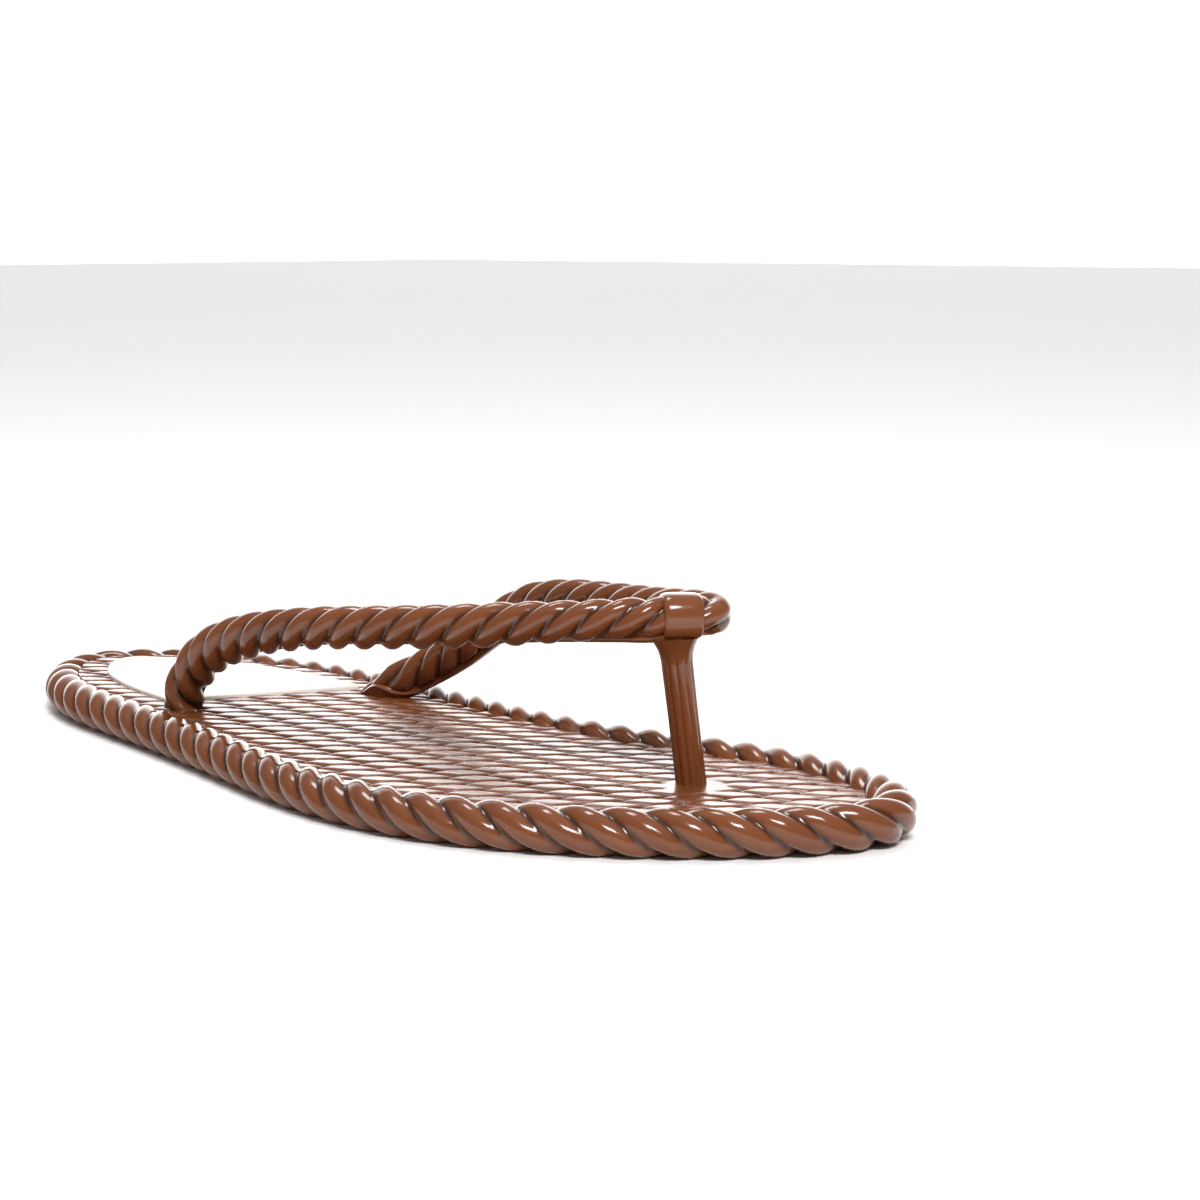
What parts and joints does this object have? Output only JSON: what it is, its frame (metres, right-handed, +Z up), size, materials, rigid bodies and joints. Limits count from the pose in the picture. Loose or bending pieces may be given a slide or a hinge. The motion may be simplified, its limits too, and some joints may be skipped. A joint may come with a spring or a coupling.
{
  "type": "flip flop",
  "caption": "Right-foot flip flop with a twisted-rope rim and V strap, woven-texture footbed, cream heel patch and slim toe post.",
  "frame": {"origin": "centre of the sole's bounding box at floor level", "axes": "+Z up, -Y towards the toe tip, +Y towards the heel, -X towards the outer (little toe) side"},
  "size_m": [0.0992, 0.2495, 0.0441],
  "materials": {
    "brown_pvc": "glossy moulded brown PVC",
    "sole_rubber": "satin brown rubber-like PVC",
    "cream_patch": "smooth cream comfort patch, satin"
  },
  "bodies": {
    "body": {"outsole": "sole_rubber", "footbed": "brown_pvc", "rim": "brown_pvc", "heel_patch": "cream_patch", "strap_arm_outer": "brown_pvc", "strap_arm_inner": "brown_pvc", "toe_collar": "brown_pvc", "toe_post": "brown_pvc", "toe_plug": "brown_pvc", "anchor_plug_outer": "brown_pvc", "anchor_plug_inner": "brown_pvc"},
    "toe_end": {"outsole_toe": "sole_rubber", "footbed_toe": "brown_pvc", "rim_toe": "brown_pvc"}
  },
  "joints": [
    {"name": "toe_flex", "type": "hinge", "parent": "body", "child": "toe_end", "pos_m": [0, -0.091, 0.009], "axis": [-1, 0, 0], "range_deg": [0, 25], "stiffness_Nm_per_rad": 0.5}
  ]
}
